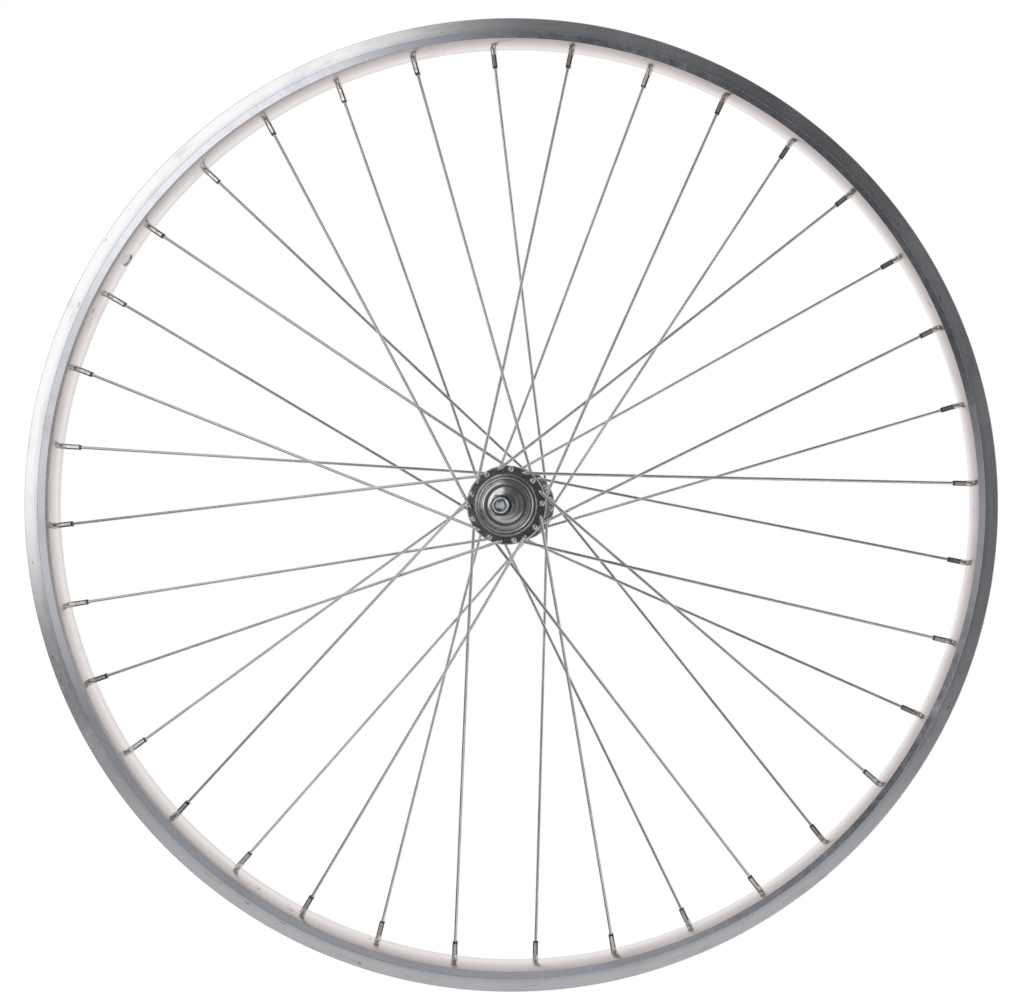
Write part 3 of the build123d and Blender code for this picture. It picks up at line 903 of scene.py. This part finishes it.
class WHEEL_OT_nipples(bpy.types.Operator):
    """Turn one nipple and seat a copy on every spoke"""

    bl_idname = "wheel.nipples"
    bl_label = "Nipples"

    def execute(self, context):
        settings = context.scene.wheel
        nipple = settings.nipple
        form = placed("nipple_form", self.shape(nipple, -settings.rim.floor))
        form.data.shade_smooth()
        plate = nickel_plate(settings.finish)
        ways = routes(settings)
        mesh = grown(
            carrier_mesh([way.rim_seat for way in ways], [], facing=[way.axis for way in ways]),
            nipple_tree(),
            {"Form": form, "Turn": nipple.turn, "Seed": nipple.seed, "Finish": plate},
        )
        bpy.data.objects.remove(form)
        finished("spoke_nipples", mesh, plate, "wheel", "nipple", "nipples")
        return {"FINISHED"}

    def shape(self, nipple, bed):
        """One nipple along Y, with the rim's floor at the origin and the rim's bed below it."""
        flat_r, collar_r, head_r = nipple.flats / 2, nipple.diameter / 2, nipple.head / 2
        bore_r, head = nipple.bore / 2, nipple.seat_gap
        end, flats_end, top = bed - nipple.drop, bed - nipple.collar, head + nipple.head_height
        fine, head_edge, head_bend, top_edge = 0.1 * MM, 0.2 * MM, 0.3 * MM, 0.5 * MM
        tip, run_out, head_rim = 0.35 * MM, 0.3 * MM, 0.4 * MM
        outline = eased([
            (bore_r, end, fine),
            (flat_r, end, fine),
            (collar_r, end + tip, fine),
            (collar_r, end + nipple.edge, 0),
            (collar_r, flats_end - run_out, 0),
            (collar_r, flats_end, 0),
            (collar_r, head, fine),
            (head_r, head, head_edge),
            (head_r, head + head_rim, head_bend),
            (nipple.head_top / 2, top, top_edge),
            (bore_r, top, fine),
        ])
        below_collar = flats_end - run_out / 2

        def four_flats(radii, heights, angles):
            flat = flat_r / np.maximum(np.abs(np.cos(angles)), np.abs(np.sin(angles)))
            return np.where((heights < below_collar) & (radii > flat), flat, radii)

        mesh = turned(outline, NIPPLE_SIDES, four_flats)
        self.mark_edges(mesh, end + nipple.edge / 2, below_collar)
        return drilled(mesh, self.slot_block(nipple, top))

    def slot_block(self, nipple, top):
        """Block that cuts the screwdriver slot."""
        block = bmesh.new()
        bmesh.ops.create_cube(block, size=1.0)
        sizes = Matrix.Diagonal((2 * nipple.head, 2 * nipple.slot_depth, nipple.slot_width, 1))
        bmesh.ops.transform(block, verts=block.verts, matrix=Matrix.Translation((0, top, 0)) @ sizes)
        mesh = bpy.data.meshes.new("slot")
        block.to_mesh(mesh)
        block.free()
        return mesh

    def mark_edges(self, mesh, low, top):
        """Mark the four edges of the flats and the tip for the finish to darken with worn brass and painted
        shade.
        """
        points = np.empty(3 * len(mesh.vertices))
        mesh.vertices.foreach_get("co", points)
        x, y, z = points.reshape(-1, 3).T
        off_edge = np.abs(np.arctan2(z, x) % (pi / 2) - pi / 4)
        reach = radians(12)
        marked = (y < top) & ((off_edge < reach) | (y < low))
        mesh.attributes.new("edge", "FLOAT", "POINT").data.foreach_set("value", marked.astype(float))


class WHEEL_OT_hub(bpy.types.Operator):
    """Turn the hub shell, drill its flanges, and press the dust caps"""

    bl_idname = "wheel.hub"
    bl_label = "Hub shell and dust caps"

    def execute(self, context):
        settings = context.scene.wheel
        hub, finish = settings.hub, settings.finish
        plate = turned_metal("hub_plate", tuple(finish.hub), rough=0.16, spread=0.05, dulled=0.72)
        sheet = turned_metal("cap_plate", tuple(finish.cap), rough=0.14, spread=0.04, dulled=0.86)
        self.make_shell(settings, hub, plate)
        for name, side in SIDES.items():
            self.make_cap(hub, name, side, sheet)
        return {"FINISHED"}

    def make_shell(self, settings, hub, plate):
        """Turn the shell with its freewheel thread and drill the spoke holes."""
        thread_low = hub.right_flange + hub.flange_thick / 2 + hub.shoulder_height
        thread_high = HUB_HIGH.y - hub.chamfer
        thread = (hub.thread / 2, thread_low, thread_high, hub.thread_pitch)
        corners = self.left_corners(hub) + self.right_corners(hub, thread)
        mesh = turned(eased(corners), hub.segments, thread_relief(*thread, hub.thread_depth))
        bits = drill_bits(self.flared_bit(hub), [(way.hole, AXIS) for way in routes(settings)])
        finished("hub_body", drilled(mesh, bits), plate, "wheel", "hub", "hub_shell")

    def left_corners(self, hub):
        """Corners of the shell from the left cup's seat round the boss and flange to the barrel."""
        end, thick, chamfer = HUB_LOW.y, hub.flange_thick, hub.chamfer
        face = -hub.left_flange - thick / 2
        step_y, cup_y = face - hub.step_height, end + hub.cup_depth
        housing_end = cup_y + hub.housing_back
        seat_r, boss_r, step_r, flange_r = hub.cup_seat / 2, hub.boss / 2, hub.step / 2, hub.flange / 2
        housing_r, boss_edge, step_root, step_edge = hub.housing / 2, 0.6 * MM, 0.3 * MM, 0.7 * MM
        small, face_root, round_edge, taper_bend = 0.2 * MM, 0.5 * MM, 0.8 * MM, 3 * MM
        return [
            (hub.bore / 2, cup_y, small),
            (seat_r, cup_y, small),
            (seat_r, end, small),
            *self.turned_rings(seat_r, boss_r - chamfer, end, hub.ring_depth),
            (boss_r - chamfer, end + hub.ring_depth, boss_edge),
            (boss_r, end + chamfer, boss_edge),
            (boss_r, step_y, step_root),
            (step_r, step_y, step_edge),
            (step_r, face, face_root),
            (flange_r, face, round_edge),
            (flange_r, face + thick, round_edge),
            (housing_r, face + thick, round_edge),
            (housing_r, housing_end, round_edge),
            (hub.barrel / 2, housing_end + hub.housing_taper, taper_bend),
        ]

    def right_corners(self, hub, thread):
        """Corners of the shell from the barrel round the flange and the thread to the right cup's seat."""
        end, thick = HUB_HIGH.y, hub.flange_thick
        face = hub.right_flange + thick / 2
        cup_y, shoulder_y = end - hub.cup_depth, face + hub.shoulder_height
        seat_r, shoulder_r, flange_r = hub.cup_seat / 2, hub.shoulder / 2, hub.flange / 2
        small, shoulder_edge, round_edge, barrel_root = 0.2 * MM, 0.4 * MM, 0.8 * MM, 1.5 * MM
        return [
            (hub.barrel / 2, face - thick, barrel_root),
            (flange_r, face - thick, round_edge),
            (flange_r, face, round_edge),
            (shoulder_r, face, shoulder_edge),
            (shoulder_r, shoulder_y, shoulder_edge),
            *thread_rows(*thread),
            (hub.thread / 2 - hub.chamfer, end, small),
            (seat_r, end, small),
            (seat_r, cup_y, small),
            (hub.bore / 2, cup_y, small),
        ]

    def flared_bit(self, hub):
        """Bit for a spoke hole that is bevelled at both faces of the flange."""
        reach, face, hole_r = hub.flange_thick, hub.flange_thick / 2, hub.spoke_hole / 2
        wide_r, inside = hole_r + hub.flare, face - hub.flare
        half = [(hole_r, inside), (wide_r, face), (wide_r, reach), (0, reach)]
        return turned([(radius, -y) for radius, y in half[::-1]] + half, HOLE_SIDES)

    def turned_rings(self, inner_r, outer_r, end, depth):
        """Corners of two shallow grooves turned into the face of the boss, which slopes back a little."""
        third, bend = (outer_r - inner_r) / 3, 0.2 * MM
        rings = []
        for share in (1, 2):
            middle, face = inner_r + share * third, end + share * depth / 3
            rings += [(middle - third / 2, face, bend), (middle, face + depth / 2, bend)]
        return rings

    def make_cap(self, hub, name, side, sheet):
        """Press one dust cap: a rolled lip, a groove and a domed middle."""
        node = f"{name}_dust_cap"
        low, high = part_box(node)
        hub_end = high.y if side > 0 else -low.y
        outer_r, lip_r = high.x, high.x - hub.cap_lip
        crown_r, hole_r = hub.cap_crown / 2, hub.cap_hole / 2
        groove, crown = hub_end - hub.cap_sink, hub_end - hub.cap_crown_sink
        ridge_foot, below = hub_end - hub.ridge, hub.cap_sheet
        crease, ridge_bend, groove_bend, rim_edge = 0.15 * MM, 0.4 * MM, 0.25 * MM, 0.2 * MM
        top = dome((hole_r, crown), (crown_r, crown - hub.cap_fall), hub.cap_slope, DOME_STEPS)
        under = [(radius, y - below, 0) for radius, y, _ in top if radius < crown_r - below]
        under.append((crown_r - below, groove - below, 0))
        corners = top + [
            (crown_r, groove, crease),
            (lip_r, groove, groove_bend),
            (lip_r, ridge_foot, crease),
            ((lip_r + outer_r) / 2, hub_end, ridge_bend),
            (outer_r, ridge_foot, crease),
            (outer_r, groove - below, rim_edge),
        ] + under[::-1]
        mesh = turned(mirrored(eased(corners), side), hub.segments)
        finished(f"{name}_cap", mesh, sheet, "wheel", "dust_cap", node)


class WHEEL_OT_axle_set(bpy.types.Operator):
    """Turn the axle and its cones, washers, spacers and lock nuts"""

    bl_idname = "wheel.axle_set"
    bl_label = "Axle set"

    def execute(self, context):
        settings = context.scene.wheel
        axle, finish = settings.axle, settings.finish
        fitting = turned_metal("fitting_plate", tuple(finish.fitting), rough=0.24, spread=0.06, dulled=0.75)
        sheet = turned_metal("washer_plate", tuple(finish.washer), rough=0.14, spread=0.04, dulled=0.88)
        race = turned_metal("ground_race", tuple(finish.bearing), rough=0.12, spread=0.03, dulled=0.85)
        self.make_axle(axle, axle_steel(finish, axle))
        for name, side in SIDES.items():
            self.make_cone(axle, name, side, race)
            self.make_ring(axle, f"{name}_lock_washer", side, sheet, axle.washer_bevel)
            self.make_ring(axle, f"{name}_spacer", side, fitting, axle.spacer_bevel)
            self.make_nut(axle, name, side, fitting)
        return {"FINISHED"}

    def make_axle(self, axle, steel):
        """Turn the hollow axle, threaded where it stands out of the lock nuts."""
        low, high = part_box("axle")
        nut_low, nut_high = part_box("left_locknut")[0].y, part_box("right_locknut")[1].y
        body_r, bore_r, end_r, chamfer = high.x, axle.bore / 2, axle.end / 2, axle.chamfer
        bore_edge, end_edge, run_out = 0.4 * MM, 0.5 * MM, 0.1 * MM
        corners = [
            (bore_r, low.y, bore_edge),
            (end_r - chamfer, low.y, end_edge),
            *thread_rows(end_r, low.y + chamfer, nut_low, axle.thread_pitch),
            (body_r, nut_low + run_out, 0),
            (body_r, nut_high - run_out, 0),
            *thread_rows(end_r, nut_high, high.y - chamfer, axle.thread_pitch),
            (end_r - chamfer, high.y, end_edge),
            (bore_r, high.y, bore_edge),
        ]
        relief = thread_relief(end_r, low.y, high.y, axle.thread_pitch, axle.thread_depth)
        mesh = turned(eased(corners), axle.segments, relief)
        finished("hollow_axle", mesh, steel, "axle_set", "axle", "axle")

    def reach_of(self, node, side):
        """Inner and outer end of a fitting, counted away from the rim's middle."""
        low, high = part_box(node)
        return (low.y, high.y) if side > 0 else (-high.y, -low.y)

    def make_ring(self, axle, node, side, plate, bevel):
        """Turn a washer or spacer with a bevel on its outer face."""
        inner, outer = self.reach_of(node, side)
        bore_r, outer_r, edge = axle.thread_bore / 2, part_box(node)[1].x, 0.3 * MM
        outline = eased([
            (bore_r, inner, 0),
            (outer_r, inner, edge),
            (outer_r, outer - axle.bevel_slope * bevel, edge),
            (outer_r - bevel, outer, edge),
            (bore_r, outer, 0),
        ])
        mesh = turned(mirrored(outline, side), axle.segments)
        finished(f"{node}_ring", mesh, plate, "axle_set", "axle_fitting", node)

    def make_cone(self, axle, name, side, race):
        """Turn a cone with its curved track and mill its two spanner flats."""
        node = f"{name}_cone"
        inner, outer = self.reach_of(node, side)
        bore_r, nose_r, body_r = axle.thread_bore / 2, axle.cone_nose / 2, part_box(node)[1].z
        race_start, race_end = inner + axle.cone_lead, inner + axle.cone_race
        flats_start = outer - axle.cone_flats_height
        edge, step, least_cosine = 0.3 * MM, 0.05 * MM, 0.1
        groove = arc((race_start, nose_r), (race_end, body_r), RACE_STEPS)
        outline = eased([
            (bore_r, inner, 0),
            (nose_r, inner, edge),
            *[(radius, y, 0) for y, radius, _ in groove],
            (body_r, flats_start - step, 0),
            (body_r, flats_start + step, 0),
            (body_r, outer, edge),
            (bore_r, outer, 0),
        ])

        def flats(radii, heights, angles):
            flat = axle.cone_flats / 2 / np.maximum(np.abs(np.cos(angles)), least_cosine)
            milled = (side * heights > flats_start) & (radii > bore_r)
            return np.where(milled, np.minimum(radii, flat), radii)

        mesh = turned(mirrored(outline, side), axle.segments, flats)
        finished(f"{name}_race_cone", mesh, race, "axle_set", "bearing", node)

    def make_nut(self, axle, name, side, plate):
        """Turn a lock nut, bevelled on its outer face, and mill its six flats."""
        node = f"{name}_locknut"
        inner, outer = self.reach_of(node, side)
        bore_r, flat_r, bore_bevel = axle.thread_bore / 2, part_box(node)[1].z, 0.4 * MM
        rise = flat_r / cos(pi / 6) - flat_r
        drop = rise * tan(axle.nut_chamfer)
        shares = [step / NUT_STEPS for step in range(NUT_STEPS + 1)]
        outline = eased([
            (bore_r + bore_bevel, outer, 0),
            *[(flat_r + rise * share, outer - drop * share, 0) for share in shares],
            (flat_r + rise, inner, 0),
            (bore_r, inner, 0),
            (bore_r, outer - bore_bevel, 0),
        ])

        def hexagon(radii, heights, angles):
            return np.minimum(radii, flat_r / np.cos(angles % (pi / 3) - pi / 6))

        mesh = turned(mirrored(outline, side), axle.segments, hexagon)
        finished(f"{name}_lock_nut", mesh, plate, "axle_set", "axle_fitting", node)


class WHEEL_OT_bearings(bpy.types.Operator):
    """Give the pressed cups and the balls their ground steel"""

    bl_idname = "wheel.bearings"
    bl_label = "Bearings"

    def execute(self, context):
        finish = context.scene.wheel.finish
        steel = turned_metal("bearing_steel", tuple(finish.bearing), rough=0.12, spread=0.03, dulled=0.88)
        for name in SIDES:
            for part in ("cup", "balls"):
                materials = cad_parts[f"{name}_{part}"].data.materials
                materials.clear()
                materials.append(steel)
        return {"FINISHED"}


class WHEEL_OT_stage(bpy.types.Operator):
    """Set up the light, the floor, the tent that metal mirrors and the camera"""

    bl_idname = "wheel.stage"
    bl_label = "Stage"

    def execute(self, context):
        settings = context.scene.wheel
        stage = settings.stage
        context.scene.view_settings.view_transform = "Standard"
        self.make_world(context.scene, stage)
        self.make_floor(stage, tuple(settings.finish.floor))
        self.make_tent(stage)
        self.make_camera(context.scene, stage)
        return {"FINISHED"}

    def make_world(self, scene, stage):
        """White where it is seen or mirrored, soft where it lights a dull surface."""
        world = bpy.data.worlds.new("studio")
        scene.world = world
        world.use_nodes = True
        world.node_tree.nodes.clear()
        graph = Graph(world.node_tree)
        path = graph("ShaderNodeLightPath").outputs
        seen = graph.most(path["Is Camera Ray"], path["Is Glossy Ray"], path["Is Transmission Ray"])
        soft = graph("ShaderNodeBackground", {0: WHITE, 1: stage.soft_light}).outputs[0]
        white = graph("ShaderNodeBackground", {0: WHITE, 1: 1.0}).outputs[0]
        mixed = graph("ShaderNodeMixShader", {0: seen, 1: soft, 2: white}).outputs[0]
        graph("ShaderNodeOutputWorld", {0: mixed})

    def make_floor(self, stage, pale):
        """Pale round floor below the wheel that fades to the white around it."""
        mesh = bpy.data.meshes.new("floor")
        work = bmesh.new()
        bmesh.ops.create_circle(work, cap_ends=True, segments=FLOOR_SIDES, radius=stage.floor_radius)
        work.to_mesh(mesh)
        work.free()
        mesh.transform(Matrix.Translation((0, 0, -stage.floor_drop)))
        floor = placed("floor", mesh)
        floor.visible_glossy = False
        material = bpy.data.materials.new("pale_floor")
        material.use_nodes = True
        graph = Graph(material.node_tree)
        shader = material.node_tree.nodes["Principled BSDF"]
        shader.inputs["Base Color"].default_value = pale
        shader.inputs["Roughness"].default_value = 0.9
        place = graph("ShaderNodeTexCoord").outputs["Object"]
        radius = graph.vector("LENGTH", graph.vector("MULTIPLY", place, (1, 1, 0)), result=1)
        fade_start, fade_end = 0.55 * stage.floor_radius, 0.98 * stage.floor_radius
        fade = graph.ramp(radius, fade_start, fade_end)
        white = graph("ShaderNodeEmission", {0: WHITE, 1: 1.0}).outputs[0]
        mixed = graph("ShaderNodeMixShader", {0: fade, 1: shader.outputs[0], 2: white}).outputs[0]
        graph.tree.links.new(mixed, material.node_tree.nodes["Material Output"].inputs[0])
        mesh.materials.append(material)

    def make_tent(self, stage):
        """Tent on the camera's side that only mirrors show: white window, grey and dark parts."""
        half = stage.tent_half
        square = [(-half, half), (half, half), (half, -half), (-half, -half)]
        points = [(x, y, z) for y in (-stage.tent_front, stage.tent_back) for x, z in square]
        sides = [(step, (step + 1) % 4, (step + 1) % 4 + 4, step + 4) for step in range(4)]
        mesh = bpy.data.meshes.new("studio_tent")
        mesh.from_pydata(points, [], [(0, 1, 2, 3), *sides])
        tent = placed("studio_tent", mesh)
        tent.visible_camera = False
        tent.visible_diffuse = False
        tent.visible_shadow = False
        material = bpy.data.materials.new("studio_tent")
        material.use_nodes = True
        material.node_tree.nodes.clear()
        graph = Graph(material.node_tree)
        level = self.tent_level(graph, stage)
        cool = (0.93, 0.96, 1.0, 1.0)
        tint = graph.blend(graph.ramp(level, 0.1, 1.0), cool, WHITE)
        light = graph("ShaderNodeEmission", {0: tint, 1: level}).outputs[0]
        graph("ShaderNodeOutputMaterial", {0: light})
        mesh.materials.append(material)

    def tent_level(self, graph, stage):
        """How bright each place of the tent is.

        Places are counted in units of a circle on the front. A point of the rim's side mirrors that
        circle at its own angle.
        """
        below_edge = 4 * MM
        reach = (stage.tent_front + RIM_LOW.y) / (stage.camera_y + RIM_LOW.y)
        unit = (RIM_HIGH.x - below_edge) * (1 + reach)
        place = graph("ShaderNodeTexCoord").outputs["Object"]
        centred = graph.vector("ADD", place, (stage.camera_x * reach, 0, stage.camera_z * reach))
        spot = graph.vector("MULTIPLY", centred, (1 / unit, 0, 1 / unit))
        far = graph.vector("LENGTH", spot, result=1)
        way = graph.vector("NORMALIZE", spot)
        front = self.front_level(graph, spot, way, far)
        wing = self.wing_level(graph, place, spot, way)
        front_end, wing_start = 1.5, 1.9
        return graph.blend(graph.ramp(far, front_end, wing_start), front, wing)

    def front_level(self, graph, spot, way, far):
        """Front of the tent: white window on the left, grey below, dark on the right and in the middle."""
        window_way, pane_way, dark_way, down = 145, 185, 52, 270
        sector = graph.ramp(graph.towards(way, window_way), 0.58, 0.84)
        window = graph.math("MULTIPLY", sector, graph.ramp(far, 0.20, 0.55, to_high=1.25))
        below = graph.ramp(graph.towards(spot, down), 0.20, 0.85, to_high=0.55)
        pane = graph.ramp(graph.towards(spot, pane_way), 0.15, 0.4, to_high=0.9)
        pane = graph.math("MULTIPLY", pane, graph.ramp(far, 0.72, 0.92, to_low=1.0, to_high=0.0))
        dark = graph.ramp(graph.towards(way, dark_way), 0.93, 1.0, to_low=0.16, to_high=0.10)
        dark = graph.math("MULTIPLY", dark, graph.ramp(far, 0.2, 0.7, to_low=0.3))
        return graph.most(window, below, pane, dark)

    def wing_level(self, graph, place, spot, way):
        """Sides of the tent: next to the front, pale below on the right, greyer above.

        Further back, the roof and the floor are pale on the left, and the two walls are pale above.
        """
        right_way, upper_way, glint_way = -30, 75, -50
        right = graph.ramp(graph.towards(way, right_way), 0.33, 0.95, to_low=0.1, to_high=0.95)
        upper = graph.ramp(graph.towards(way, upper_way), 0.3, 1.0, to_low=0.1, to_high=0.45)
        glint = graph.ramp(graph.towards(way, glint_way), 0.84, 0.97, to_low=0.1, to_high=1.35)
        near = graph.most(right, upper, glint)
        across, _, up = graph("ShaderNodeSeparateXYZ", {0: spot}).outputs
        on_wall = graph.math("GREATER_THAN", graph.math("ABSOLUTE", across), graph.math("ABSOLUTE", up))
        leftwards = graph.math("MULTIPLY", across, -1.0)
        lean = graph("ShaderNodeMix", {0: on_wall, 2: leftwards, 3: up}).outputs[0]
        back = graph.ramp(lean, -0.6, 0.4, to_low=0.05)
        depth = graph("ShaderNodeSeparateXYZ", {0: place}).outputs[1]
        near_end, back_start = -1.4, -0.7
        return graph.blend(graph.ramp(depth, near_end, back_start), near, back)

    def make_camera(self, scene, stage):
        """Camera in front of the wheel's left side, its picture shifted to centre the rim."""
        data = bpy.data.cameras.new("camera")
        data.sensor_width = SENSOR_MM
        data.lens = stage.focal
        data.shift_x = stage.shift_x
        data.shift_y = stage.shift_y
        camera = bpy.data.objects.new("camera", data)
        camera.location = (stage.camera_x, -stage.camera_y, stage.camera_z)
        camera.rotation_euler = (pi / 2, 0, 0)
        scene.collection.objects.link(camera)
        scene.camera = camera


class WHEEL_PT_sidebar(bpy.types.Panel):
    """Steps that make the wheel"""

    bl_label = "Spoked wheel"
    bl_idname = "WHEEL_PT_sidebar"
    bl_space_type = "VIEW_3D"
    bl_region_type = "UI"
    bl_category = "Wheel"

    def draw(self, context):
        settings = context.scene.wheel
        for step in STEPS:
            self.layout.operator(step.bl_idname, text=step.bl_label)
        for group in GROUPS:
            box = self.layout.box()
            box.label(text=group.capitalize())
            sizes = getattr(settings, group)
            for name in sizes.__annotations__:
                box.prop(sizes, name)


STEPS = (
    WHEEL_OT_rim,
    WHEEL_OT_spokes,
    WHEEL_OT_nipples,
    WHEEL_OT_hub,
    WHEEL_OT_axle_set,
    WHEEL_OT_bearings,
    WHEEL_OT_stage,
)
GROUPS = ("rim", "lacing", "nipple", "hub", "axle", "finish", "stage")
CLASSES = (
    RimSizes,
    LacingSizes,
    NippleSizes,
    HubSizes,
    AxleSizes,
    Finishes,
    StageSizes,
    WheelSettings,
    *STEPS,
    WHEEL_PT_sidebar,
)


def register():
    """Add the classes, and the settings to the scene."""
    for item in CLASSES:
        bpy.utils.register_class(item)
    bpy.types.Scene.wheel = PointerProperty(type=WheelSettings)


def unregister():
    """Take the settings and the classes away again."""
    del bpy.types.Scene.wheel
    for item in reversed(CLASSES):
        bpy.utils.unregister_class(item)


def main():
    """Make the pieces in order."""
    register()
    bpy.ops.wheel.rim()
    bpy.ops.wheel.spokes()
    bpy.ops.wheel.nipples()
    bpy.ops.wheel.hub()
    bpy.ops.wheel.axle_set()
    bpy.ops.wheel.bearings()
    bpy.ops.wheel.stage()


if __name__ == "__main__":
    main()
